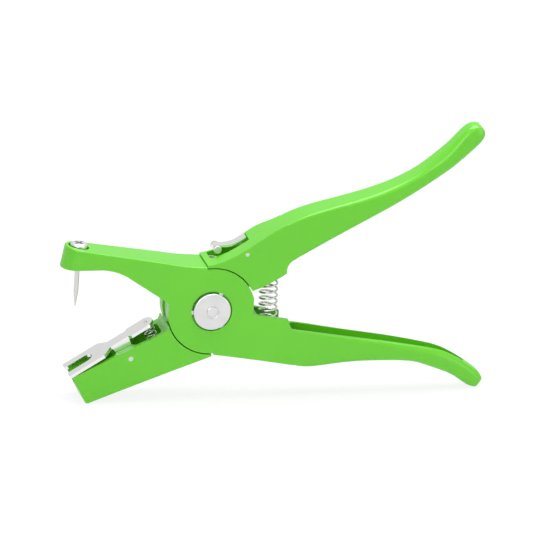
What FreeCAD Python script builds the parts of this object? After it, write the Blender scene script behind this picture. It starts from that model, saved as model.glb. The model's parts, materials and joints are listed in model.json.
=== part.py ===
import FreeCAD, Part
import math
import os

V = FreeCAD.Vector
os.makedirs("parts", exist_ok=True)

# Millimetres. X runs from the jaws to the handle tips, Y across the tool,
# Z up. The modelling origin is the pivot axis; everything is moved to the
# ground frame at export.

# --- castings -------------------------------------------------------------
HUB_W = 25.4            # thickness across the hub and the shoulders
HANDLE_W = 19.4         # thickness of handles and upper jaw tip
JAW_W = 21.6            # thickness of the lower jaw at its tip
HUB_R = 26.0            # cheek discs
SHOULDER_PLAY = 0.7     # between a cheek edge and the other casting's shoulder
SEAM_PLAY = 0.3         # between the butting seam faces that stop the opening
TONGUE_W = 8.0          # tongue between the cheeks
TONGUE_R = 25.1
TONGUE_RIM_PLAY = 0.35  # round the tongue inside the cheek slot
WALL = 2.7              # channel walls of handles and jaw
EDGE = 0.9              # cast edge radius near the hub
GRIP_EDGE = 4.2         # cast edge radius at the grips
NEAR = -HUB_W / 2
FAR = HUB_W / 2
GRIP_FAR = NEAR + HANDLE_W
GRIP_Y = NEAR + HANDLE_W / 2
SHOULDER_R = HUB_R + SHOULDER_PLAY
SLOT_R = TONGUE_R + TONGUE_RIM_PLAY

# --- pivot ----------------------------------------------------------------
BUSH_R = 7.0
BUSH_PLAY = 0.05        # running fit of the bush in both castings
WASHER_R = 11.0
WASHER_T = 0.5
SIDE_PLAY = 0.05        # between tongue and thrust washer
SLOT_W = TONGUE_W + 2 * (WASHER_T + SIDE_PLAY)
CAP_R = 11.1
CAP_T = 3.6
CAP_POCKET_R = 12.15
CAP_POCKET_D = 2.0
NIB_W = 2.4
RIVET_R = 3.2
RIVET_PLAY = 0.04
RING_R = 4.2

# --- needle ---------------------------------------------------------------
NEEDLE_X = -79.2        # axis at the height NEEDLE_Z
NEEDLE_Z = 28.0
NEEDLE_Y = -2.6
NEEDLE_TILT = 1.5
NEEDLE_R = 1.45
NEEDLE_OUT = 25.2       # free length below the jaw
NEEDLE_POINT = 9.0      # tapered end
COLLAR_R = 2.0          # thicker stretch of the needle inside the jaw
COLLAR_END = -0.85      # just proud of the jaw's underside
FLANGE_R = 3.0
FLANGE_T = 2.2
SLEEVE_R = 4.6          # threaded insert that takes the screw
WELL_R = 6.2            # open counterbore round the screw
WELL_FLOOR = 6.2        # above NEEDLE_Z
SCREW_R = 2.5
HEAD_R = 5.1
HEAD_T = 3.9

# --- tag clip (jaw frame: u along the rim, v out of the jaw) ---------------
RIM_ANGLE = 25.7
RIM_V = 0.96
JAW_FRONT_U = -90.2
CLIP_Y = -1.9
CLIP_T = 1.8
CLIP_W = 21.4
CLIP_RISE = 5.7         # degrees above the rim
CLIP_FRONT_U = -91.4
FORK_W = 8.8
FORK_END_U = -73.7
WAIST_W = 9.4
TAIL_W = 13.0
TAIL_END_U = -32.6
CLIP_PIN_U = -54.7
CLIP_PIN_V = -4.6
CLIP_PIN_R = 1.5
CLIP_PIN_PLAY = 0.04
EAR_PLAY = 0.3
CLIP_SPRING_R = 3.7
CLIP_SPRING_WIRE = 0.7
CLIP_SPRING_U = -37.4
POCKET_V = -11.0

# --- main spring ----------------------------------------------------------
SPRING_X = 35.6
SPRING_Y = GRIP_Y
SPRING_R = 5.75
SPRING_WIRE = 1.25
SPRING_FOOT = -22.0
SPRING_HEAD = 23.0
SPRING_TURNS = 13
SEAT_T = 1.2
SPRING_BORE_PLAY = 3.4  # round the main spring in the upper handle

COIL_STEPS = 8          # curve points per turn of a spring

# --- latch ----------------------------------------------------------------
LATCH_X = 20.2
LATCH_Z = 34.2
LATCH_Y = 5.1
LATCH_SLOT_W = 11.6
LATCH_PIN_R = 1.2
LATCH_PIN_PLAY = 0.04
LEVER_W = 6.6
LEVER_T = 1.4
ROLLER_X = 5.0
ROLLER_Z = 33.4
ROLLER_R = 2.5
ROLLER_L = 10.8
NECK_R = 1.5             # the roller's neck in the lever's curled eye
NECK_PLAY = 0.04
LATCH_COIL_R = 1.9
LATCH_WIRE_R = 0.35

NEEDLE_FOOT = V(NEEDLE_X, NEEDLE_Y, NEEDLE_Z)


# --- helpers ----------------------------------------------------------------
def wire(place, start, *steps):
    """Closed wire. A step is a point, an ("arc", through, end), a list of curve
    points, or an ("ease", points, first tangent, last tangent)."""
    edges = []
    here = start
    for step in steps + (start,):
        if isinstance(step, list) or step[0] == "ease":
            points = step if isinstance(step, list) else step[1]
            curve = Part.BSplineCurve()
            if isinstance(step, list):
                curve.interpolate([place(*p) for p in [here] + points])
            else:
                ends = {"InitialTangent": place(*step[2]), "FinalTangent": place(*step[3])}
                curve.interpolate(Points=[place(*p) for p in [here] + points], **ends)
            edges.append(curve.toShape())
            here = points[-1]
        elif step[0] == "arc":
            edges.append(Part.Arc(place(*here), place(*step[1]), place(*step[2])).toShape())
            here = step[2]
        elif step != here:
            edges.append(Part.makeLine(place(*here), place(*step)))
            here = step
    return Part.Wire(edges)


def side(x, z):
    return V(x, 0, z)


def top(x, y):
    return V(x, y, 0)


def slab(outline, y0, y1):
    """The side outline, extruded across the tool from y0 to y1."""
    face = Part.Face(outline)
    face.translate(V(0, y0, 0))
    return face.extrude(V(0, y1 - y0, 0))


def column(outline, z0, z1, lean=0.0):
    """The plan outline (true at NEEDLE_Z), extruded from z0 to z1, leaning lean mm of X per mm of Z."""
    face = Part.Face(outline)
    face.translate(V(lean * (z0 - NEEDLE_Z), 0, z0))
    return face.extrude(V(lean * (z1 - z0), 0, z1 - z0))


def cross_bar(x, z, r, y0, y1):
    return Part.makeCylinder(r, y1 - y0, V(x, y0, z), V(0, 1, 0))


def block(x0, y0, z0, x1, y1, z1):
    return Part.makeBox(x1 - x0, y1 - y0, z1 - z0, V(x0, y0, z0))


def tilted(shape):
    """From the jaw frame, in which the rim is level, to the tool."""
    shape = shape.copy()
    shape.rotate(V(0, 0, 0), V(0, 1, 0), -RIM_ANGLE)
    return shape


def soften(shape, radius, chosen):
    """Rounds the edges that chosen picks."""
    edges = [e for e in shape.Edges if chosen(e)]
    return shape.makeFillet(radius, edges)


def rounded_section(head, foot, inset, r):
    """Rounded rectangle across the tool between two points of the side view."""
    rise = side(*head) - side(*foot)
    height = rise.Length
    rise.normalize()
    place = lambda y, t: side(*foot) + V(0, y, 0) + rise * t
    y0 = NEAR + inset
    y1 = GRIP_FAR - inset
    k = r * (1 - math.sqrt(0.5))
    return wire(
        place,
        (y0 + r, 0.0),
        (y1 - r, 0.0),
        ("arc", (y1 - k, k), (y1, r)),
        (y1, height - r),
        ("arc", (y1 - k, height - k), (y1 - r, height)),
        (y0 + r, height),
        ("arc", (y0 + k, height - k), (y0, height - r)),
        (y0, r),
        ("arc", (y0 + k, k), (y0 + r, 0.0)),
    )


def grip(sections):
    """Skin through rounded sections, given as (head, foot, inset, radius)."""
    return Part.makeLoft([rounded_section(*each) for each in sections], True, False)


def rise(turn, turns, closed, active):
    """Height of the wire after a number of turns; the end turns are closed."""
    if turn > turns / 2:
        return 2 * rise(turns / 2, turns, closed, active) - rise(turns - turn, turns, closed, active)
    if turn < 1:
        return closed * turn
    if turn < 1.5:
        return closed * turn + (active - closed) * (turn - 1) ** 2
    return closed * turn + (active - closed) * (turn - 1.25)


def coil(foot, axis, radius, wire_r, length, turns):
    """Compression spring of round wire with closed end turns."""
    height = length - 2 * wire_r
    closed = 2.2 * wire_r
    active = closed + (height - closed * turns) / (turns - 2.5)
    reach = radius - wire_r
    points = []
    for k in range(int(turns * COIL_STEPS) + 1):
        a = 2 * math.pi * k / COIL_STEPS
        z = wire_r + rise(k / COIL_STEPS, turns, closed, active)
        points.append(V(reach * math.cos(a), reach * math.sin(a), z))
    line = Part.BSplineCurve()
    line.interpolate(points)
    ring = Part.Wire(Part.makeCircle(wire_r, points[0], line.tangent(line.FirstParameter)[0]))
    spring = Part.Wire([line.toShape()]).makePipeShell([ring], True, True)
    spring.Placement = FreeCAD.Placement(foot, FreeCAD.Rotation(V(0, 0, 1), axis))
    return spring


# --- upper jaw casting --------------------------------------------------------
def upper_jaw_arm():
    seam_x = -3.2 - SEAM_PLAY
    outline = wire(
        side,
        (seam_x, 27.0),
        [(-14.2, 27.9), (-26.3, 30.0)],
        (-100.0, 43.5),
        (-100.0, 27.4),
        (-66.0, 27.2),
        ("arc", (-58.0, 25.6), (-51.0, 22.4)),
        (-27.0, 6.2),
        (-20.0, 0.0),
        (seam_x, 0.0),
    )
    arm = slab(outline, NEAR, FAR)
    plan = wire(
        top,
        (0.0, NEAR),
        (0.0, FAR),
        (-9.0, FAR),
        (-80.0, GRIP_FAR),
        ("arc", (-80.0 - HANDLE_W / 2, GRIP_Y), (-80.0, NEAR)),
    )
    arm = arm.common(column(plan, -5.0, 60.0, 0.2))
    upper = lambda e: e.CenterOfMass.z > 24.5 and e.CenterOfMass.x < -8 and e.Length > 12
    return soften(arm, EDGE, upper).cut(tail_relief())


def tail_relief():
    """Shallow pocket under the upper jaw that the clip's tail swings into."""
    outline = wire(side, (-47.5, 10.0), (-47.5, 22.7), (-24.0, 6.9), (-20.0, 0.0), (-30.0, 0.0))
    reach = TAIL_W / 2 + 0.6
    return slab(outline, CLIP_Y - reach, CLIP_Y + reach)


def lower_handle():
    """Root with the raised walls round the spring, then the grip."""
    heel = (52.3, -14.0)
    sole = (50.5, -35.1)
    outline = wire(
        side,
        (25.0, -2.9),
        (46.0, -6.8),
        (48.2, -13.2),
        heel,
        sole,
        [(33.8, -32.1), (2.0, -26.9)],
        (1.5, -15.0),
        (20.0, 0.0),
    )
    sections = (
        (heel, sole, 0.0, EDGE),
        ((70.0, -17.0), (68.5, -36.0), 0.2, EDGE + 0.9),
        ((92.0, -20.7), (90.0, -34.7), 0.7, 2.6),
        ((112.0, -24.0), (109.5, -35.3), 1.2, 3.4),
        ((130.0, -27.6), (126.5, -37.8), 1.8, GRIP_EDGE),
        ((146.0, -33.4), (140.5, -43.2), 2.6, GRIP_EDGE),
        ((157.5, -40.7), (151.0, -49.1), 3.4, 4.0),
        ((163.5, -45.8), (157.5, -53.5), 4.2, 3.8),
        ((165.3, -48.9), (161.2, -54.4), 5.2, 2.6),
    )
    return slab(outline, NEAR, GRIP_FAR).fuse(grip(sections))


def handle_channel():
    """Space of the lower handle's U channel."""
    outline = wire(
        side,
        (49.6, 0.0),
        (49.6, -24.0),
        ("arc", (51.4, -29.6), (57.0, -31.6)),
        [(97.4, -30.4), (126.8, -33.6), (143.0, -39.5), (152.0, -43.0)],
        (158.0, -38.0),
        (158.0, 0.0),
    )
    y0 = NEAR + WALL
    y1 = GRIP_FAR - WALL
    space = slab(outline, y0, y1)
    plan = wire(
        top,
        (40.0, y0),
        (60.0, y0),
        [(100.0, y0 + 0.9), (140.0, y0 + 2.9), (152.0, GRIP_Y - 2.4)],
        ("arc", (154.4, GRIP_Y), (152.0, GRIP_Y + 2.4)),
        [(140.0, y1 - 2.9), (100.0, y1 - 0.9), (60.0, y1)],
        (40.0, y1),
    )
    return space.common(column(plan, -60.0, 5.0))


def spring_well():
    """Open well between the cheeks that takes the foot of the main spring."""
    y0 = NEAR + WALL
    y1 = GRIP_FAR - WALL
    return block(27.6, y0, SPRING_FOOT - SEAT_T, 44.0, y1, 5.0)


def upper_jaw_casting():
    body = upper_jaw_arm().fuse(lower_handle())
    slot = cross_bar(0, 0, SLOT_R, -SLOT_W / 2, SLOT_W / 2)
    body = body.cut(slot)
    cheeks = cross_bar(0, 0, HUB_R, NEAR, -SLOT_W / 2).fuse(cross_bar(0, 0, HUB_R, SLOT_W / 2, FAR))
    cheeks = cheeks.cut(block(25.0, NEAR - 1, -3.5, 30.0, FAR + 1, 12.0))
    body = body.fuse(cheeks)
    body = body.cut(spring_well()).cut(handle_channel())
    body = body.cut(block(44.0 - 0.2, NEAR + WALL, -14.2, 60.0, GRIP_FAR + 1, 5.0))
    body = body.cut(cross_bar(0, 0, BUSH_R + BUSH_PLAY, NEAR - 1, FAR + 1))
    for y0, y1 in ((NEAR - 1, NEAR + CAP_POCKET_D), (FAR - CAP_POCKET_D, FAR + 1)):
        body = body.cut(cross_bar(0, 0, CAP_POCKET_R, y0, y1))
    body = body.cut(needle_bore())
    return body.removeSplitter()


# --- needle -----------------------------------------------------------------
def needle_axis():
    lean = math.radians(NEEDLE_TILT)
    return V(math.sin(lean), 0, math.cos(lean))


def needle_rod(r, a, b):
    """Round bar on the needle axis from a to b above its foot point."""
    axis = needle_axis()
    return Part.makeCylinder(r, b - a, NEEDLE_FOOT + axis * a, axis)


def needle_bore():
    bore = needle_rod(COLLAR_R + 0.03, -6.0, 1.0)
    bore = bore.fuse(needle_rod(SLEEVE_R, 0.8, WELL_FLOOR + 1))
    return bore.fuse(needle_rod(WELL_R, WELL_FLOOR, 30.0))


def applicator_needle():
    axis = needle_axis()
    shank = needle_rod(NEEDLE_R, NEEDLE_POINT - NEEDLE_OUT, COLLAR_END)
    point = Part.makeCone(0.25, NEEDLE_R, NEEDLE_POINT, NEEDLE_FOOT - axis * NEEDLE_OUT, axis)
    collar = needle_rod(COLLAR_R, COLLAR_END, 1.0)
    flange = needle_rod(FLANGE_R, 0.8, 0.8 + FLANGE_T)
    return shank.fuse(point).fuse(collar).fuse(flange).removeSplitter()


def needle_sleeve():
    """Insert in the boss: holds the needle's flange down and takes the screw."""
    body = needle_rod(SLEEVE_R, 0.8, WELL_FLOOR + 2.6)
    body = body.cut(needle_rod(FLANGE_R, 0.7, 0.8 + FLANGE_T))
    return body.cut(needle_rod(SCREW_R, 0.5, 20.0))


def needle_lock_washer():
    base = WELL_FLOOR + 2.6
    ring = needle_rod(4.4, base, base + 1.1).cut(needle_rod(SCREW_R + 0.1, base - 1, base + 2))
    axis = needle_axis()
    gap = block(-5.0, -0.35, -1.0, 0.0, 0.35, 3.0)
    gap.Placement = FreeCAD.Placement(NEEDLE_FOOT + axis * base, FreeCAD.Rotation(V(0, 1, 0), NEEDLE_TILT))
    return ring.cut(gap)


def needle_screw():
    seat = WELL_FLOOR + 3.7
    axis = needle_axis()
    shank = needle_rod(SCREW_R, 0.8 + FLANGE_T, seat)
    head = needle_rod(HEAD_R, seat, seat + HEAD_T)
    head = head.makeFillet(1.5, [max(head.Edges, key=lambda e: e.CenterOfMass.z if e.Length > 20 else -99)])
    cross = block(-3.0, -0.7, 0.0, 3.0, 0.7, 4.0).fuse(block(-0.7, -3.0, 0.0, 0.7, 3.0, 4.0))
    turn = FreeCAD.Rotation(V(0, 1, 0), NEEDLE_TILT).multiply(FreeCAD.Rotation(V(0, 0, 1), 35))
    cross.Placement = FreeCAD.Placement(NEEDLE_FOOT + axis * (seat + HEAD_T - 2.0), turn)
    return shank.fuse(head).cut(cross).removeSplitter()


# --- lower jaw casting ----------------------------------------------------------
def lower_jaw():
    """Lower jaw in the jaw frame."""
    outline = wire(
        side,
        (JAW_FRONT_U, RIM_V),
        (JAW_FRONT_U + 0.3, -15.8),
        ("arc", (JAW_FRONT_U + 0.9, -17.3), (JAW_FRONT_U + 2.4, -17.8)),
        [(-49.7, -21.4), (-11.4, -25.4)],
        (-7.0, -14.0),
        (-20.0, 6.0),
        (-27.0, 3.4),
        (-29.2, RIM_V),
    )
    jaw = tilted(slab(outline, NEAR, FAR))
    jaw = jaw.common(block(-120.0, NEAR - 1, -70.0, 1.5 - SEAM_PLAY, FAR + 1, 30.0))
    far_tip = NEAR + JAW_W
    plan = wire(
        top,
        (5.0, NEAR),
        (5.0, FAR),
        (-20.0, FAR),
        (-88.0, far_tip),
        (-100.0, far_tip),
        (-100.0, NEAR),
    )
    return jaw.common(column(plan, -80.0, 20.0))


def jaw_pockets():
    """Open spaces of the lower jaw: in front for the tag, behind for the clip spring."""
    y0 = NEAR + WALL
    y1 = NEAR + JAW_W - WALL
    ear_y = WAIST_W / 2 + EAR_PLAY
    front = block(JAW_FRONT_U - 2, y0, -8.6, -61.2, y1, 12.0)
    front = front.makeFillet(3.0, [e for e in front.Edges if e.Length > 15 and abs(e.CenterOfMass.x + 61.2) < 0.1])
    middle = block(-63.0, CLIP_Y - ear_y, POCKET_V, -47.0, CLIP_Y + ear_y, 12.0)
    rear = block(-49.6, y0, POCKET_V, -31.4, y1 + 0.6, 12.0)
    upright = [e for e in rear.Edges if e.Length > 20]
    rear = rear.makeFillet(3.0, upright)
    return tilted(front.fuse(middle).fuse(rear))


def upper_handle():
    """Root over the hub, then the grip."""
    seam_x = -3.2
    heel = (43.0, 51.6)
    sole = (49.6, 30.6)
    outline = wire(
        side,
        (seam_x, 28.0),
        [(9.7, 31.8), (22.8, 39.2), heel],
        sole,
        ("arc", (45.2, 27.2), (44.2, 21.8)),
        (38.0, 18.0),
        (29.4, 13.6),
        (25.0, 12.1),
        (10.0, 5.0),
        (seam_x, 5.0),
    )
    plan = wire(
        top,
        (-10.0, NEAR),
        (60.0, NEAR),
        (60.0, GRIP_FAR),
        (42.6, GRIP_FAR),
        ("ease", [(34.3, (FAR + GRIP_FAR) / 2), (26.0, FAR)], (-1, 0), (-1, 0)),
        (-10.0, FAR),
    )
    sections = (
        (heel, sole, 0.0, EDGE),
        ((64.0, 59.6), (70.0, 41.5), 0.1, EDGE + 0.9),
        ((86.5, 65.5), (92.5, 53.1), 0.4, 2.6),
        ((108.0, 73.0), (114.5, 64.8), 0.9, 3.4),
        ((128.5, 85.2), (136.5, 78.4), 1.5, GRIP_EDGE),
        ((143.0, 98.0), (151.5, 90.2), 2.2, GRIP_EDGE),
        ((149.8, 105.2), (158.4, 96.6), 2.9, 4.0),
        ((154.6, 107.7), (161.2, 101.0), 3.8, 3.6),
        ((158.2, 107.2), (160.9, 104.0), 5.2, 2.0),
    )
    root = slab(outline, NEAR, FAR).common(column(plan, -20.0, 70.0))
    return root.fuse(grip(sections))


def upper_channel():
    """Channel in the inner side of the upper handle."""
    outline = wire(
        side,
        (58.0, 20.0),
        (58.0, 44.0),
        [(70.0, 52.0), (90.0, 59.5), (112.0, 67.0), (132.0, 80.0), (144.0, 92.0)],
        (156.0, 80.0),
        (120.0, 40.0),
    )
    y0 = NEAR + WALL + 0.6
    y1 = GRIP_FAR - WALL - 0.6
    return slab(outline, y0, y1)


def latch_slot():
    y0 = LATCH_Y - LATCH_SLOT_W / 2
    y1 = LATCH_Y + LATCH_SLOT_W / 2
    slot = block(0.5, y0, 15.0, 23.4, y1, 60.0)
    upright = [e for e in slot.Edges if e.Length > 40]
    slot = slot.makeFillet(1.0, upright)
    return slot.cut(cross_bar(0, 0, TONGUE_R, NEAR, FAR))


def spring_bore():
    """Pocket under the upper handle that takes the head of the main spring."""
    centre = V(SPRING_X, SPRING_Y, SPRING_HEAD + SEAT_T - 40.0)
    bore = Part.makeCylinder(SPRING_R + SPRING_BORE_PLAY, 40.0, centre)
    return bore.cut(cross_bar(0, 0, SHOULDER_R + 0.5, NEAR, FAR))


def lower_jaw_casting():
    halves = lower_jaw().fuse(upper_handle())
    inner = cross_bar(0, 0, SHOULDER_R, NEAR - 1, FAR + 1)
    neck = halves.common(cross_bar(0, 0, SHOULDER_R + 0.5, -TONGUE_W / 2, TONGUE_W / 2))
    tongue = cross_bar(0, 0, TONGUE_R, -TONGUE_W / 2, TONGUE_W / 2)
    body = halves.cut(inner).fuse(neck).fuse(tongue)
    body = body.cut(jaw_pockets()).cut(latch_slot()).cut(upper_channel())
    body = body.cut(cross_bar(0, 0, BUSH_R + BUSH_PLAY, NEAR, FAR))
    body = body.cut(tilted(cross_bar(CLIP_PIN_U, CLIP_PIN_V, CLIP_PIN_R, NEAR - 1, FAR + 1)))
    body = body.cut(cross_bar(LATCH_X, LATCH_Z, LATCH_PIN_R, NEAR - 1, FAR + 1))
    body = body.cut(spring_bore())
    return body.removeSplitter()


# --- pivot ------------------------------------------------------------------
def pivot_bush():
    half = HUB_W / 2 - CAP_POCKET_D
    bush = cross_bar(0, 0, BUSH_R, -half, half)
    return bush.cut(cross_bar(0, 0, RIVET_R + RIVET_PLAY, -half - 1, half + 1))


def pivot_cap(sign):
    """Steel disc in the pocket of one cheek, keyed by three nibs."""
    inner = HUB_W / 2 - CAP_POCKET_D
    disc = cross_bar(0, 0, CAP_R, inner, inner + CAP_T)
    disc = disc.makeFillet(0.7, [e for e in disc.Edges if e.CenterOfMass.y > inner + CAP_T - 0.01 and e.Length > 30])
    for turn in (0, 120, 240):
        nib = block(0.0, inner, -NIB_W / 2, CAP_POCKET_R, inner + CAP_POCKET_D - 0.4, NIB_W / 2)
        nib.rotate(V(0, 0, 0), V(0, 1, 0), turn - 63)
        disc = disc.fuse(nib.common(cross_bar(0, 0, CAP_POCKET_R, inner, FAR)))
    ring = cross_bar(0, 0, RING_R, inner + CAP_T - 0.6, inner + CAP_T + 1)
    disc = disc.cut(ring).cut(cross_bar(0, 0, RIVET_R + RIVET_PLAY, 0, 30))
    return disc if sign > 0 else disc.mirror(V(0, 0, 0), V(0, 1, 0))


def pivot_rivet():
    end = HUB_W / 2 - CAP_POCKET_D + CAP_T
    rivet = cross_bar(0, 0, RIVET_R, -end, end)
    return rivet.makeFillet(0.6, [e for e in rivet.Edges if abs(e.CenterOfMass.y) > end - 0.01])


def thrust_washer(sign):
    y0 = TONGUE_W / 2 + SIDE_PLAY
    ring = cross_bar(0, 0, WASHER_R, y0, y0 + WASHER_T).cut(cross_bar(0, 0, BUSH_R + BUSH_PLAY, 0, 10))
    return ring if sign > 0 else ring.mirror(V(0, 0, 0), V(0, 1, 0))


# --- tag clip ------------------------------------------------------------------
def clip_plane(shape):
    """From the clip's own flat plane (origin at the jaw's front rim) to the tool."""
    shape = shape.copy()
    shape.rotate(V(0, 0, 0), V(0, 1, 0), -CLIP_RISE)
    shape.translate(V(JAW_FRONT_U, 0, RIM_V))
    return tilted(shape)


def clip_plan():
    """Flat blank of the clip, measured from the jaw's front rim."""
    front = CLIP_FRONT_U - JAW_FRONT_U
    fork_end = FORK_END_U - JAW_FRONT_U
    tail = TAIL_END_U - JAW_FRONT_U
    a = CLIP_W / 2
    b = FORK_W / 2
    c = WAIST_W / 2
    d = TAIL_W / 2
    outline = wire(
        top,
        (front, b + 0.6),
        (front, a),
        (22.4, a),
        (28.2, c),
        (40.2, c),
        (42.0, d),
        (tail - 4.0, d),
        ("arc", (tail, 0.0), (tail - 4.0, -d)),
        (42.0, -d),
        (40.2, -c),
        (28.2, -c),
        (22.4, -a),
        (front, -a),
        (front, -b - 0.6),
        (front + 2.0, -b),
        (fork_end - b, -b),
        ("arc", (fork_end, 0.0), (fork_end - b, b)),
        (front + 2.0, b),
    )
    return outline


def tag_clip():
    blank = column(clip_plan(), 0.0, CLIP_T)
    pin = tilted_point(CLIP_PIN_U, CLIP_PIN_V)
    ear = wire(
        side,
        (28.6, CLIP_T),
        (28.6, 0.0),
        (31.0, -11.4),
        ("arc", (34.4, -14.4), (38.4, -11.4)),
        (40.0, 0.0),
        (40.0, CLIP_T),
    )
    c = WAIST_W / 2
    for y0, y1 in ((-c, -c + CLIP_T), (c - CLIP_T, c)):
        blank = blank.fuse(slab(ear, y0, y1))
    blank.translate(V(0, CLIP_Y, 0))
    clip = clip_plane(blank)
    clip = clip.cut(cross_bar(pin.x, pin.z, CLIP_PIN_R + CLIP_PIN_PLAY, NEAR, FAR))
    stud = clip_spring_line(-20, 20, 1.0)
    return clip.cut(stud).removeSplitter()


def tilted_point(u, v, y=0.0):
    a = math.radians(RIM_ANGLE)
    return V(u * math.cos(a) - v * math.sin(a), y, u * math.sin(a) + v * math.cos(a))


def clip_spring_line(v0, v1, r):
    """Bar square to the rim through the middle of the clip spring."""
    return tilted(Part.makeCylinder(r, v1 - v0, V(CLIP_SPRING_U, CLIP_Y, v0), V(0, 0, 1)))


def clip_underside():
    """Height of the clip's underside over the rim frame at the clip spring."""
    return RIM_V + (CLIP_SPRING_U - JAW_FRONT_U) * math.tan(math.radians(CLIP_RISE))


def clip_hinge_pin():
    return tilted(cross_bar(CLIP_PIN_U, CLIP_PIN_V, CLIP_PIN_R, NEAR + 0.3, NEAR + JAW_W + 0.6))


def clip_spring():
    foot = tilted_point(CLIP_SPRING_U, POCKET_V, CLIP_Y)
    axis = tilted_point(0, 1)
    length = clip_underside() - POCKET_V - 0.4
    return coil(foot, axis, CLIP_SPRING_R, CLIP_SPRING_WIRE / 2, length, 6.5)


def clip_spring_stud():
    v = clip_underside()
    stem = clip_spring_line(v - 2.6, v + CLIP_T + 0.5, 1.0)
    return stem.fuse(clip_spring_line(v - 2.6, v - 0.5, 2.2)).removeSplitter()


# --- main spring -----------------------------------------------------------------
def main_spring():
    foot = V(SPRING_X, SPRING_Y, SPRING_FOOT)
    return coil(foot, V(0, 0, 1), SPRING_R, SPRING_WIRE / 2, SPRING_HEAD - SPRING_FOOT - 0.1, SPRING_TURNS)


def main_spring_seat():
    """Pressed cup on the floor of the well, with a stub that centres the spring."""
    cup = Part.makeCylinder(6.9, SEAT_T, V(SPRING_X, SPRING_Y, SPRING_FOOT - SEAT_T))
    stub = Part.makeCylinder(3.9, 5.0, V(SPRING_X, SPRING_Y, SPRING_FOOT))
    return cup.fuse(stub).removeSplitter()


def main_spring_cap():
    """Pressed cup in the upper handle that holds the spring's head."""
    cap = Part.makeCylinder(SPRING_R + 1.3, SEAT_T, V(SPRING_X, SPRING_Y, SPRING_HEAD))
    stub = Part.makeCylinder(3.6, 4.0, V(SPRING_X, SPRING_Y, SPRING_HEAD - 4.0))
    return cap.fuse(stub).removeSplitter()


# --- latch --------------------------------------------------------------------
def latch_lever():
    """Strip with two ears for the pin and a curled eye round the roller's neck."""
    arm = wire(
        side,
        (ROLLER_X, ROLLER_Z + NECK_R + NECK_PLAY),
        ("arc", (15.0, 35.2), (22.6, 39.4)),
        (22.6 - LEVER_T * 0.6, 39.4 + LEVER_T),
        ("arc", (14.6, 35.2 + LEVER_T), (ROLLER_X, ROLLER_Z + ROLLER_R)),
    )
    y0 = LATCH_Y - LEVER_W / 2
    y1 = LATCH_Y + LEVER_W / 2
    lever = slab(arm, y0, y1).fuse(cross_bar(ROLLER_X, ROLLER_Z, ROLLER_R, y0, y1))
    ear = wire(
        side,
        (15.0, 35.4),
        (17.4, 32.2),
        ("arc", (20.2, 31.4), (22.6, 33.4)),
        (22.6, 39.4),
    )
    for start in (y0, y1 - LEVER_T):
        lever = lever.fuse(slab(ear, start, start + LEVER_T))
    lever = lever.cut(cross_bar(ROLLER_X, ROLLER_Z, NECK_R + NECK_PLAY, NEAR, FAR))
    return lever.cut(cross_bar(LATCH_X, LATCH_Z, LATCH_PIN_R + LATCH_PIN_PLAY, NEAR, FAR)).removeSplitter()


def latch_roller():
    """Cross bar with a turned neck that the lever's eye is curled round."""
    y0 = LATCH_Y - ROLLER_L / 2
    y1 = LATCH_Y + ROLLER_L / 2
    roller = cross_bar(ROLLER_X, ROLLER_Z, ROLLER_R, y0, y1)
    roller = roller.makeFillet(0.5, [e for e in roller.Edges if e.Length > 12 and e.Closed])
    groove = cross_bar(ROLLER_X, ROLLER_Z, 9.0, y0, y1).cut(cross_bar(ROLLER_X, ROLLER_Z, NECK_R, y0, y1))
    half = LEVER_W / 2 + NECK_PLAY
    return roller.cut(groove.common(block(-20.0, LATCH_Y - half, 0.0, 20.0, LATCH_Y + half, 60.0)))


def latch_spring():
    """Torsion spring round the latch pin, one leg under the lever, one down the slot wall."""
    turns = 3.25
    pitch = 2 * LATCH_WIRE_R + 0.15
    end = turns * pitch
    helix = Part.makeLongHelix(pitch, end, LATCH_COIL_R)
    start = V(LATCH_COIL_R, 0, 0)
    ring = Part.Wire(Part.makeCircle(LATCH_WIRE_R, start, V(0, 1, 0)))
    spring = Part.Wire(helix.Edges).makePipeShell([ring], True, True)
    lower = Part.makeCylinder(LATCH_WIRE_R, 3.0, start, V(0, -1, 0))
    upper = Part.makeCylinder(LATCH_WIRE_R, 1.4, V(0, LATCH_COIL_R, end), V(-1, 0, 0))
    spring = spring.fuse(lower).fuse(upper)
    turn = FreeCAD.Rotation(V(1, 0, 0), 90)
    spring.Placement = FreeCAD.Placement(V(LATCH_X, LATCH_Y + end / 2, LATCH_Z), turn)
    return spring.removeSplitter()


def latch_pin():
    return cross_bar(LATCH_X, LATCH_Z, LATCH_PIN_R, NEAR + 0.2, FAR - 0.2)


# --- ground frame and export ------------------------------------------------------
PARTS = {
    "upper_jaw_casting": upper_jaw_casting(),
    "lower_jaw_casting": lower_jaw_casting(),
    "pivot_bush": pivot_bush(),
    "pivot_rivet": pivot_rivet(),
    "pivot_cap_front": pivot_cap(-1),
    "pivot_cap_rear": pivot_cap(1),
    "thrust_washer_front": thrust_washer(-1),
    "thrust_washer_rear": thrust_washer(1),
    "applicator_needle": applicator_needle(),
    "needle_sleeve": needle_sleeve(),
    "needle_lock_washer": needle_lock_washer(),
    "needle_screw": needle_screw(),
    "tag_clip": tag_clip(),
    "clip_hinge_pin": clip_hinge_pin(),
    "clip_spring": clip_spring(),
    "clip_spring_stud": clip_spring_stud(),
    "main_spring": main_spring(),
    "main_spring_seat": main_spring_seat(),
    "main_spring_cap": main_spring_cap(),
    "latch_lever": latch_lever(),
    "latch_roller": latch_roller(),
    "latch_spring": latch_spring(),
    "latch_pin": latch_pin(),
}

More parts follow.
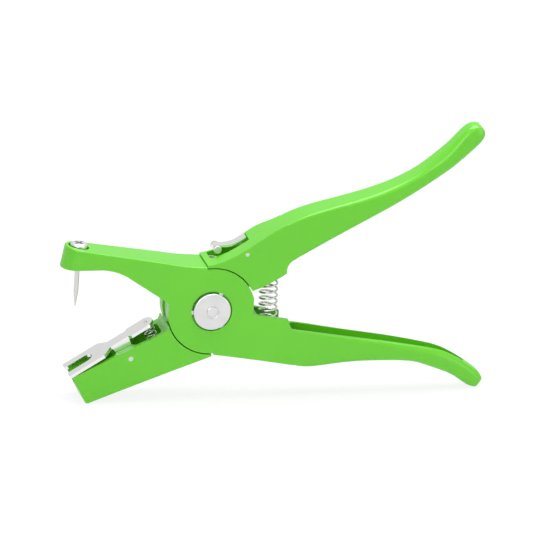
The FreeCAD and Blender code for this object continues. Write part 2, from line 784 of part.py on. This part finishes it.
whole = Part.makeCompound(list(PARTS.values())).optimalBoundingBox(False, False)
shift = V(-(whole.XMin + whole.XMax) / 2, -(whole.YMin + whole.YMax) / 2, -whole.ZMin)
for name, shape in PARTS.items():
    shape = shape.copy()
    shape.translate(shift)
    print(name, shape.isValid(), len(shape.Solids), round(shape.Volume, 1))
    shape.exportStep("parts/%s.step" % name)
print("size", whole.XLength, whole.YLength, whole.ZLength)
print("pivot", shift)
print("clip pin", tilted_point(CLIP_PIN_U, CLIP_PIN_V) + shift)
print("latch pin", V(LATCH_X, LATCH_Y, LATCH_Z) + shift)
print("needle foot", NEEDLE_FOOT + shift, "axis", needle_axis())
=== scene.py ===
"""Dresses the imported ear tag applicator: finishes, springs, studio and camera."""

import json
import logging
import math
from dataclasses import dataclass
from enum import Enum

import bpy
from mathutils import Matrix, Vector

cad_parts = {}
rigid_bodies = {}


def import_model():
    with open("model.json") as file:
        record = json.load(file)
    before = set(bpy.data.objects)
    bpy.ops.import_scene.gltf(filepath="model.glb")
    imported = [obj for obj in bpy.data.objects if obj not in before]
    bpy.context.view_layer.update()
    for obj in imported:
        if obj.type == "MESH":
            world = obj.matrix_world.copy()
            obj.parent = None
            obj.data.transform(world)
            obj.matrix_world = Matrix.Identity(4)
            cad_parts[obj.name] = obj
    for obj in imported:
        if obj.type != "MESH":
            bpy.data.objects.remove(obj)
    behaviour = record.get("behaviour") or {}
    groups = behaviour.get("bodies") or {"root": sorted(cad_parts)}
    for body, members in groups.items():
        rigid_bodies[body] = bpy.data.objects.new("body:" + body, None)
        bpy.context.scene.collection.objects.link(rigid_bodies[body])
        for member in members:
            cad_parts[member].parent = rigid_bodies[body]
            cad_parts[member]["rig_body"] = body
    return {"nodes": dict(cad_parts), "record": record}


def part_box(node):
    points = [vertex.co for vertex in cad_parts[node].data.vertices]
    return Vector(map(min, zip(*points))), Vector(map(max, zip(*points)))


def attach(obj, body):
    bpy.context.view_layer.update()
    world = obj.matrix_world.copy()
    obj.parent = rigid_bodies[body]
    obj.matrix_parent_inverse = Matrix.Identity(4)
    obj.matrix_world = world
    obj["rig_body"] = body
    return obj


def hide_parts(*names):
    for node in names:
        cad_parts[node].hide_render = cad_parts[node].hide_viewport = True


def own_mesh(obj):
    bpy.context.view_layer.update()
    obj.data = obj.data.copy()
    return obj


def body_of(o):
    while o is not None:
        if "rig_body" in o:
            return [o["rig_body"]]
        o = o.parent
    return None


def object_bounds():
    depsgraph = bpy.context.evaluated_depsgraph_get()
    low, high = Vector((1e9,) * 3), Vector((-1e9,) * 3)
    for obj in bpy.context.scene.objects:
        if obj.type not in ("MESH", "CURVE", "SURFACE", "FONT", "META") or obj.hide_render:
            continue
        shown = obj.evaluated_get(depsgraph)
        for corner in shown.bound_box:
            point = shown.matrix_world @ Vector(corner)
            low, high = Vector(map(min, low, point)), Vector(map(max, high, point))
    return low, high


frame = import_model()

CAD_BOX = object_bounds()
MM = 0.001

GRIT_RATIO = 4.0  # grit's scale over the waves' scale
SCUFF_TURN = (0.4, 0.9, 0.3)
SCUFF_STRETCH = (30.0, 900.0, 420.0)
SCUFF_THIN = 0.69  # noise above this is a scuff
STAIN_EDGE = 0.52  # scuffs lie only where the stain is above this
BUMP_STRENGTH = 0.5
GRAIN_STRENGTH = 0.6

log = logging.getLogger("ear_tag_applicator")

Colour = tuple[float, float, float]
Place = tuple[float, float, float]


class Finish(Enum):
    """Finishes of the tool's pieces, named as the record's material slots are."""

    GREEN_PAINT = "green_paint"
    STEEL = "steel"
    ZINC = "zinc"
    BRIGHT_STRIP = "bright_strip"
    SPRING_WIRE = "spring_wire"


class Texture(Enum):
    """Shared surface effects, each kept as one shader node group."""

    ORANGE_PEEL = "orange peel of sprayed powder"
    HANDLING = "handling marks"
    TURNED_RINGS = "turned rings"
    ROLLED_GRAIN = "rolled grain"


# --- shader helpers -------------------------------------------------------------
class Sheet:
    """A node tree that is being filled in."""

    def __init__(self, tree: bpy.types.NodeTree) -> None:
        """Keeps the tree.

        Args:
            tree: The node tree of a material, a world or a group.
        """
        self.tree = tree

    def add(self, kind: str, **values: object) -> bpy.types.Node:
        """Adds a node.

        Args:
            kind: The node's type name.
            **values: Settings of the node; a name that starts with a capital is an input socket.

        Returns:
            The new node.
        """
        node = self.tree.nodes.new(kind)
        for name, value in values.items():
            if name[0].isupper():
                node.inputs[name.replace("_", " ")].default_value = value
            else:
                setattr(node, name, value)
        return node

    def join(self, start: bpy.types.NodeSocket, end: bpy.types.NodeSocket) -> None:
        """Links an output to an input."""
        self.tree.links.new(start, end)

    def maths(
        self, operation: str, first: object, second: object = None, third: object = None
    ) -> bpy.types.NodeSocket:
        """Adds a Math node.

        Args:
            operation: The node's operation.
            first: A socket or a number.
            second: A socket or a number, or None where the operation takes one value.
            third: A socket or a number, or None where the operation takes two values.

        Returns:
            The result's socket.
        """
        node = self.add("ShaderNodeMath", operation=operation)
        for socket, value in zip(node.inputs, (first, second, third)):
            if isinstance(value, bpy.types.NodeSocket):
                self.join(value, socket)
            elif value is not None:
                socket.default_value = value
        return node.outputs[0]

    def mixed(self, factor: bpy.types.NodeSocket, first: object, second: object) -> bpy.types.NodeSocket:
        """Adds a colour mix.

        Args:
            factor: Share of the second colour.
            first: A socket or a colour.
            second: A socket or a colour.

        Returns:
            The mixed colour's socket.
        """
        node = self.add("ShaderNodeMix", data_type="RGBA")
        self.join(factor, node.inputs[0])
        for socket, value in ((node.inputs[6], first), (node.inputs[7], second)):
            if isinstance(value, bpy.types.NodeSocket):
                self.join(value, socket)
            else:
                socket.default_value = (*value, 1.0)
        return node.outputs[2]


def new_group(
    effect: Texture, inputs: dict[str, float], outputs: tuple[str, ...]
) -> tuple[Sheet, dict, dict]:
    """Starts a shader node group that reads object coordinates.

    Args:
        effect: The effect the group makes.
        inputs: Names and default values of its number inputs.
        outputs: Names of its number outputs.

    Returns:
        The sheet, the input sockets by name and the output sockets by name.
    """
    tree = bpy.data.node_groups.new(effect.value, "ShaderNodeTree")
    for name, value in inputs.items():
        socket = tree.interface.new_socket(name, in_out="INPUT", socket_type="NodeSocketFloat")
        socket.default_value = value
    for name in outputs:
        tree.interface.new_socket(name, in_out="OUTPUT", socket_type="NodeSocketFloat")
    sheet = Sheet(tree)
    given = {s.name: s for s in sheet.add("NodeGroupInput").outputs if s.name}
    wanted = {s.name: s for s in sheet.add("NodeGroupOutput").inputs if s.name}
    return sheet, given, wanted


def build_orange_peel() -> None:
    """Makes the fine waviness of sprayed powder: a height."""
    sheet, given, wanted = new_group(Texture.ORANGE_PEEL, {"Scale": 900.0, "Grit": 0.3}, ("Height",))
    place = sheet.add("ShaderNodeTexCoord").outputs["Object"]
    waves = sheet.add("ShaderNodeTexNoise", Detail=1.0, Roughness=0.4)
    grit = sheet.add("ShaderNodeTexNoise", Detail=2.0, Roughness=0.6)
    for node in (waves, grit):
        sheet.join(place, node.inputs["Vector"])
    sheet.join(given["Scale"], waves.inputs["Scale"])
    sheet.join(sheet.maths("MULTIPLY", given["Scale"], GRIT_RATIO), grit.inputs["Scale"])
    fine = sheet.maths("MULTIPLY", grit.outputs[0], given["Grit"])
    sheet.join(sheet.maths("ADD", waves.outputs[0], fine), wanted["Height"])


def build_handling() -> None:
    """Makes broad stains and thin scuffs: two masks."""
    sheet, given, wanted = new_group(Texture.HANDLING, {"Scale": 22.0, "Scuffs": 0.5}, ("Stain", "Scuff"))
    place = sheet.add("ShaderNodeTexCoord").outputs["Object"]
    stain = sheet.add("ShaderNodeTexNoise", Detail=4.0, Roughness=0.55)
    sheet.join(place, stain.inputs["Vector"])
    sheet.join(given["Scale"], stain.inputs["Scale"])
    sheet.join(stain.outputs[0], wanted["Stain"])
    turned = sheet.add("ShaderNodeMapping")
    turned.inputs["Rotation"].default_value = SCUFF_TURN
    turned.inputs["Scale"].default_value = SCUFF_STRETCH
    sheet.join(place, turned.inputs["Vector"])
    lines = sheet.add("ShaderNodeTexNoise", Scale=1.0, Detail=2.0, Roughness=0.5)
    sheet.join(turned.outputs[0], lines.inputs["Vector"])
    thin = sheet.maths("GREATER_THAN", lines.outputs[0], SCUFF_THIN)
    patch = sheet.maths("GREATER_THAN", stain.outputs[0], STAIN_EDGE)
    scuff = sheet.maths("MULTIPLY", sheet.maths("MULTIPLY", thin, patch), given["Scuffs"])
    sheet.join(scuff, wanted["Scuff"])


def build_turned_rings() -> None:
    """Makes the lathe's rings round an axis along Y: a height."""
    inputs = {"Centre X": 0.0, "Centre Z": 0.0, "Pitch": 0.0005}
    sheet, given, wanted = new_group(Texture.TURNED_RINGS, inputs, ("Height",))
    parts = sheet.add("ShaderNodeSeparateXYZ")
    sheet.join(sheet.add("ShaderNodeTexCoord").outputs["Object"], parts.inputs[0])
    x = sheet.maths("SUBTRACT", parts.outputs["X"], given["Centre X"])
    z = sheet.maths("SUBTRACT", parts.outputs["Z"], given["Centre Z"])
    square = sheet.maths("ADD", sheet.maths("MULTIPLY", x, x), sheet.maths("MULTIPLY", z, z))
    turns = sheet.maths("DIVIDE", sheet.maths("SQRT", square), given["Pitch"])
    wave = sheet.maths("SINE", sheet.maths("MULTIPLY", turns, 2 * math.pi))
    sheet.join(sheet.maths("MULTIPLY_ADD", wave, 0.5), wanted["Height"])


def build_rolled_grain() -> None:
    """Makes the streaks of rolled or drawn metal: a height."""
    sheet, given, wanted = new_group(Texture.ROLLED_GRAIN, {"Along": 60.0, "Across": 1800.0}, ("Height",))
    parts = sheet.add("ShaderNodeSeparateXYZ")
    sheet.join(sheet.add("ShaderNodeTexCoord").outputs["Object"], parts.inputs[0])
    stretched = sheet.add("ShaderNodeCombineXYZ")
    for axis, amount in (("X", "Along"), ("Y", "Across"), ("Z", "Along")):
        sheet.join(sheet.maths("MULTIPLY", parts.outputs[axis], given[amount]), stretched.inputs[axis])
    grain = sheet.add("ShaderNodeTexNoise", Scale=1.0, Detail=3.0, Roughness=0.6)
    sheet.join(stretched.outputs[0], grain.inputs["Vector"])
    sheet.join(grain.outputs[0], wanted["Height"])


def place_effect(sheet: Sheet, effect: Texture, **values: float) -> bpy.types.Node:
    """Places a shared effect in a material.

    Args:
        sheet: The material's sheet.
        effect: The effect.
        **values: Values for the group's inputs.

    Returns:
        The group node.
    """
    node = sheet.add("ShaderNodeGroup")
    node.node_tree = bpy.data.node_groups[effect.value]
    for name, value in values.items():
        node.inputs[name.replace("_", " ")].default_value = value
    return node


def new_material(name: str) -> tuple[bpy.types.Material, Sheet, bpy.types.Node]:
    """Starts a material.

    Args:
        name: The material's name.

    Returns:
        The material, its sheet and its Principled shader.
    """
    material = bpy.data.materials.new(name)
    material.use_nodes = True
    sheet = Sheet(material.node_tree)
    return material, sheet, material.node_tree.nodes["Principled BSDF"]


def add_bump(
    sheet: Sheet,
    shader: bpy.types.Node,
    height: bpy.types.NodeSocket,
    distance: float,
    strength: float,
) -> None:
    """Adds a bump to a shader.

    Args:
        sheet: The material's sheet.
        shader: The Principled shader.
        height: The height's socket.
        distance: Height of a full step, in metres.
        strength: Strength of the bump.
    """
    bump = sheet.add("ShaderNodeBump", Distance=distance, Strength=strength)
    sheet.join(height, bump.inputs["Height"])
    sheet.join(bump.outputs[0], shader.inputs["Normal"])


def add_uneven_roughness(
    sheet: Sheet,
    shader: bpy.types.Node,
    stain: bpy.types.NodeSocket,
    roughness: float,
    swing: float,
) -> None:
    """Lets the stains vary a shader's roughness.

    Args:
        sheet: The material's sheet.
        shader: The Principled shader.
        stain: The stain mask's socket.
        roughness: Roughness where the mask is half.
        swing: Difference between the mask's two ends.
    """
    rough = sheet.maths("MULTIPLY_ADD", stain, swing, roughness - swing / 2)
    sheet.join(rough, shader.inputs["Roughness"])


# --- finishes -------------------------------------------------------------------
@dataclass(frozen=True)
class PowderCoat:
    """Green powder coat on a casting."""

    name: str = "green powder coat"
    base: Colour = (0.118, 0.530, 0.008)
    deep: Colour = (0.090, 0.470, 0.004)
    scuffed: Colour = (0.200, 0.600, 0.060)
    roughness: float = 0.36
    swing: float = 0.14
    coat: float = 0.20
    coat_roughness: float = 0.18
    peel_depth: float = 0.02 * MM

    def build(self) -> bpy.types.Material:
        """Returns the finished material."""
        material, sheet, shader = new_material(self.name)
        marks = place_effect(sheet, Texture.HANDLING, Scale=26.0, Scuffs=0.10)
        tint = sheet.mixed(marks.outputs["Stain"], self.base, self.deep)
        sheet.join(sheet.mixed(marks.outputs["Scuff"], tint, self.scuffed), shader.inputs["Base Color"])
        add_uneven_roughness(sheet, shader, marks.outputs["Stain"], self.roughness, self.swing)
        peel = place_effect(sheet, Texture.ORANGE_PEEL, Scale=850.0, Grit=0.25)
        add_bump(sheet, shader, peel.outputs["Height"], self.peel_depth, BUMP_STRENGTH)
        shader.inputs["Coat Weight"].default_value = self.coat
        shader.inputs["Coat Roughness"].default_value = self.coat_roughness
        return material


@dataclass(frozen=True)
class BareMetal:
    """Bare or plated metal with a grain."""

    name: str
    base: Colour
    dull: Colour
    roughness: float
    swing: float = 0.16
    grain_along: float = 90.0
    grain_across: float = 1800.0
    grain_depth: float = 0.008 * MM

    def build(self) -> bpy.types.Material:
        """Returns the finished material."""
        material, sheet, shader = new_material(self.name)
        shader.inputs["Metallic"].default_value = 1.0
        marks = place_effect(sheet, Texture.HANDLING, Scale=120.0, Scuffs=0.4)
        tint = sheet.mixed(marks.outputs["Stain"], self.base, self.dull)
        sheet.join(sheet.mixed(marks.outputs["Scuff"], tint, self.dull), shader.inputs["Base Color"])
        add_uneven_roughness(sheet, shader, marks.outputs["Stain"], self.roughness, self.swing)
        scales = {"Along": self.grain_along, "Across": self.grain_across}
        grain = place_effect(sheet, Texture.ROLLED_GRAIN, **scales)
        add_bump(sheet, shader, grain.outputs["Height"], self.grain_depth, GRAIN_STRENGTH)
        return material


@dataclass(frozen=True)
class TurnedFace:
    """Plated steel with the lathe's rings round the pivot."""

    name: str
    base: Colour
    dull: Colour
    roughness: float
    centre: Vector
    swing: float = 0.16
    pitch: float = 0.42 * MM
    ring_depth: float = 0.01 * MM

    def build(self) -> bpy.types.Material:
        """Returns the finished material."""
        material, sheet, shader = new_material(self.name)
        shader.inputs["Metallic"].default_value = 1.0
        marks = place_effect(sheet, Texture.HANDLING, Scale=160.0, Scuffs=0.3)
        sheet.join(sheet.mixed(marks.outputs["Stain"], self.base, self.dull), shader.inputs["Base Color"])
        add_uneven_roughness(sheet, shader, marks.outputs["Stain"], self.roughness, self.swing)
        place = {"Centre_X": self.centre.x, "Centre_Z": self.centre.z, "Pitch": self.pitch}
        rings = place_effect(sheet, Texture.TURNED_RINGS, **place)
        add_bump(sheet, shader, rings.outputs["Height"], self.ring_depth, BUMP_STRENGTH)
        return material


# --- dressing -------------------------------------------------------------------
@dataclass
class Finishes:
    """All finishes of the tool, made once."""

    pivot: Vector

    def build(self) -> dict[Finish, bpy.types.Material]:
        """Returns the materials by finish."""
        build_orange_peel()
        build_handling()
        build_turned_rings()
        build_rolled_grain()
        pale = (0.80, 0.80, 0.79)
        grey = (0.56, 0.56, 0.55)
        return {
            Finish.GREEN_PAINT: PowderCoat().build(),
            Finish.STEEL: BareMetal("turned steel", (0.72, 0.72, 0.71), grey, 0.30).build(),
            Finish.ZINC: TurnedFace("bright zinc", pale, (0.62, 0.63, 0.63), 0.36, self.pivot).build(),
            Finish.BRIGHT_STRIP: BareMetal("polished strip", (0.90, 0.90, 0.89), pale, 0.20).build(),
            Finish.SPRING_WIRE: BareMetal("spring wire", (0.74, 0.74, 0.73), grey, 0.26).build(),
        }


@dataclass
class Dresser:
    """Gives each CAD node the finish of its slot."""

    materials: dict[Finish, bpy.types.Material]

    def dress(self) -> None:
        """Dresses every node of the frame."""
        slots = {part["node"]: part["material_slot"] for part in frame["record"]["subparts"]}
        for node, obj in frame["nodes"].items():
            material = self.materials[Finish(slots[node])]
            obj.data.materials.clear()
            obj.data.materials.append(material)
            log.info("dressed %s in %s", node, material.name)


# --- springs --------------------------------------------------------------------
@dataclass(frozen=True)
class CoilSpring:
    """Round wire compression spring that stands for a CAD spring."""

    node: str
    joint: str
    radius: float
    wire: float
    turns: float
    lean: float
    keep: float
    closed_gap: float = 1.1
    steps: int = 28
    sides: int = 10

    def height(self, turn: float, length: float) -> float:
        """Works out the wire's height; one turn at each end is closed.

        Args:
            turn: Turns from the foot.
            length: Height of the last point of the wire's line.

        Returns:
            The height of the wire's line over its first point.
        """
        closed = self.closed_gap * self.wire
        open_pitch = (length - 2 * closed) / (self.turns - 2)
        if turn <= 1:
            return closed * turn
        if turn >= self.turns - 1:
            return length - closed * (self.turns - turn)
        return closed + open_pitch * (turn - 1)

    def skin(self, foot: Vector, axis: Vector, across: Vector, length: float) -> tuple[list, list]:
        """Lays the tube's rings along the coil.

        Args:
            foot: Middle of the coil's foot.
            axis: Direction of the coil's axis.
            across: Direction from the axis in which the wire starts.
            length: Height of the last point of the wire's line.

        Returns:
            The vertices and the faces, closed at both ends of the wire.
        """
        reach = self.radius - self.wire / 2
        verts = []
        count = int(self.turns * self.steps)
        for k in range(count + 1):
            turn = 2 * math.pi * k / self.steps
            out = across * math.cos(turn) + Vector((0.0, 1.0, 0.0)) * math.sin(turn)
            rise = self.wire / 2 + self.height(k / self.steps, length)
            spot = foot + out * reach + axis * rise
            for n in range(self.sides):
                corner = 2 * math.pi * n / self.sides
                shift = (out * math.cos(corner) + axis * math.sin(corner)) * (self.wire / 2)
                verts.append(spot + shift)
        first = tuple(range(self.sides))
        last = tuple(range(count * self.sides, (count + 1) * self.sides))[::-1]
        faces = [first, last]
        for k in range(count):
            for n in range(self.sides):
                a = k * self.sides + n
                b = k * self.sides + (n + 1) % self.sides
                faces.append((b, a, a + self.sides, b + self.sides))
        return verts, faces

    def build(self, materials: dict[Finish, bpy.types.Material]) -> bpy.types.Object:
        """Builds the spring, riding where the CAD spring does.

        Args:
            materials: The materials by finish.

        Returns:
            The spring's object.
        """
        low, high = (Vector(corner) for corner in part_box(self.node))
        axis = Vector((-math.sin(self.lean), 0.0, math.cos(self.lean)))
        across = Vector((math.cos(self.lean), 0.0, math.sin(self.lean)))
        lying = 2 * self.radius * math.sin(self.lean)
        tall = (high.z - low.z - lying) / math.cos(self.lean)
        foot = (low + high) / 2 - axis * (tall / 2)
        verts, faces = self.skin(foot, axis, across, tall - self.wire)
        mesh = bpy.data.meshes.new(f"{self.node}_coil")
        mesh.from_pydata(verts, [], faces)
        mesh.polygons.foreach_set("use_smooth", [len(f) == 4 for f in faces])
        mesh.materials.append(materials[Finish.SPRING_WIRE])
        coil = bpy.data.objects.new(f"{self.node}_coil", mesh)
        bpy.context.scene.collection.objects.link(coil)
        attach(coil, body_of(frame["nodes"][self.node])[0])
        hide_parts(self.node)
        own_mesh(coil)
        log.info("built %s with %s turns", coil.name, self.turns)
        return coil


SPRINGS = (
    CoilSpring(
        node="main_spring",
        joint="squeeze",
        radius=5.75 * MM,
        wire=1.25 * MM,
        turns=13.0,
        lean=0.0,
        keep=0.55,
    ),
    CoilSpring(
        node="clip_spring",
        joint="clip_tilt",
        radius=3.7 * MM,
        wire=0.7 * MM,
        turns=6.5,
        lean=math.radians(25.7),
        keep=0.80,
    ),
)


# --- studio ---------------------------------------------------------------------
@dataclass(frozen=True)
class Lamp:
    """Square soft lamp that faces the tool."""

    name: str
    place: Place
    size: float
    watts: float

    def hang(self, aim: Vector) -> None:
        """Hangs the lamp.

        Args:
            aim: The point it faces.
        """
        data = bpy.data.lights.new(self.name, "AREA")
        data.shape = "SQUARE"
        data.size = self.size
        data.energy = self.watts
        lamp = bpy.data.objects.new(self.name, data)
        bpy.context.scene.collection.objects.link(lamp)
        lamp.location = self.place
        lamp.rotation_euler = (aim - Vector(self.place)).to_track_quat("-Z", "Y").to_euler()


LAMPS = (
    Lamp("overhead", (0.1, 0.1, 1.5), size=1.3, watts=30.0),
    Lamp("key", (-0.9, -1.5, 0.9), size=1.0, watts=13.0),
    Lamp("fill", (1.4, -1.2, 0.5), size=1.0, watts=6.0),
)


def seen_rays(sheet: Sheet) -> bpy.types.NodeSocket:
    """Picks the rays that show the background.

    Args:
        sheet: A material's or a world's sheet.

    Returns:
        A mask that is 1 for camera, glossy and transmission rays.
    """
    rays = sheet.add("ShaderNodeLightPath")
    seen = sheet.maths("MAXIMUM", rays.outputs["Is Camera Ray"], rays.outputs["Is Glossy Ray"])
    return sheet.maths("MAXIMUM", seen, rays.outputs["Is Transmission Ray"])


@dataclass(frozen=True)
class Studio:
    """Pale floor, white surround, soft lamps and the camera."""

    floor_half: float = 4.0
    floor_gap: float = 0.2 * MM
    floor_white: Colour = (0.90, 0.90, 0.90)
    floor_roughness: float = 0.9
    glow: float = 0.86
    ambient: float = 0.30
    right: Colour = (0.97745, -0.20791, 0.03707)
    upward: Colour = (0.03181, 0.31846, 0.94741)
    toward: Colour = (-0.20878, -0.92486, 0.31789)
    distance: float = 14.0
    sensor: float = 36.0
    field: float = 321.75 * MM
    aim_right: float = 36.9 * MM
    aim_up: float = 21.3 * MM

    def build_floor(self) -> None:
        """Lays the floor, white to the camera but still taking the shadow."""
        mesh = bpy.data.meshes.new("floor")
        h = self.floor_half
        mesh.from_pydata([(-h, -h, 0), (h, -h, 0), (h, h, 0), (-h, h, 0)], [], [(0, 1, 2, 3)])
        floor = bpy.data.objects.new("floor", mesh)
        bpy.context.scene.collection.objects.link(floor)
        floor.location.z = CAD_BOX[0][2] - self.floor_gap
        material, sheet, shader = new_material("studio floor")
        shader.inputs["Base Color"].default_value = (*self.floor_white, 1.0)
        shader.inputs["Roughness"].default_value = self.floor_roughness
        white = sheet.add("ShaderNodeEmission", Strength=1.0)
        mix = sheet.add("ShaderNodeMixShader")
        sheet.join(sheet.maths("MULTIPLY", seen_rays(sheet), self.glow), mix.inputs[0])
        sheet.join(shader.outputs[0], mix.inputs[1])
        sheet.join(white.outputs[0], mix.inputs[2])
        out = sheet.tree.nodes["Material Output"]
        sheet.join(mix.outputs[0], out.inputs[0])
        mesh.materials.append(material)

    def build_world(self) -> None:
        """Sets a soft white surround that the camera sees as white."""
        world = bpy.data.worlds.new("studio")
        world.use_nodes = True
        bpy.context.scene.world = world
        sheet = Sheet(world.node_tree)
        soft = world.node_tree.nodes["Background"]
        soft.inputs[0].default_value = (1.0, 1.0, 1.0, 1.0)
        soft.inputs[1].default_value = self.ambient
        white = sheet.add("ShaderNodeBackground", Strength=1.0)
        mix = sheet.add("ShaderNodeMixShader")
        sheet.join(seen_rays(sheet), mix.inputs[0])
        sheet.join(soft.outputs[0], mix.inputs[1])
        sheet.join(white.outputs[0], mix.inputs[2])
        sheet.join(mix.outputs[0], world.node_tree.nodes["World Output"].inputs[0])

    def build_camera(self, pivot: Vector) -> None:
        """Sets the camera.

        Args:
            pivot: Middle of the pivot's near face.
        """
        axes = [Vector(v) for v in (self.right, self.upward, self.toward)]
        aim = pivot + axes[0] * self.aim_right + axes[1] * self.aim_up
        data = bpy.data.cameras.new("camera")
        data.sensor_width = self.sensor
        data.lens = data.sensor_width * self.distance / self.field
        data.clip_end = 50.0
        camera = bpy.data.objects.new("camera", data)
        bpy.context.scene.collection.objects.link(camera)
        turn = Matrix(axes).transposed().to_4x4()
        camera.matrix_world = Matrix.Translation(aim + axes[2] * self.distance) @ turn
        bpy.context.scene.camera = camera

    def build(self, pivot: Vector) -> None:
        """Builds the floor, the lamps and the camera.

        Args:
            pivot: Middle of the pivot's near face.
        """
        self.build_floor()
        self.build_world()
        for lamp in LAMPS:
            lamp.hang(pivot)
        self.build_camera(pivot)
        bpy.context.scene.view_settings.view_transform = "Standard"
        log.info("studio built")


def main() -> None:
    """Dresses the tool and builds the studio."""
    logging.basicConfig(level=logging.INFO, format="%(name)s: %(message)s")
    low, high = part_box("pivot_bush")
    pivot = (low + high) / 2
    materials = Finishes(pivot).build()
    Dresser(materials).dress()
    for spring in SPRINGS:
        spring.build(materials)
    casting_low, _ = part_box("upper_jaw_casting")
    Studio().build(Vector((pivot.x, casting_low.y, pivot.z)))


if __name__ == "__main__":
    main()
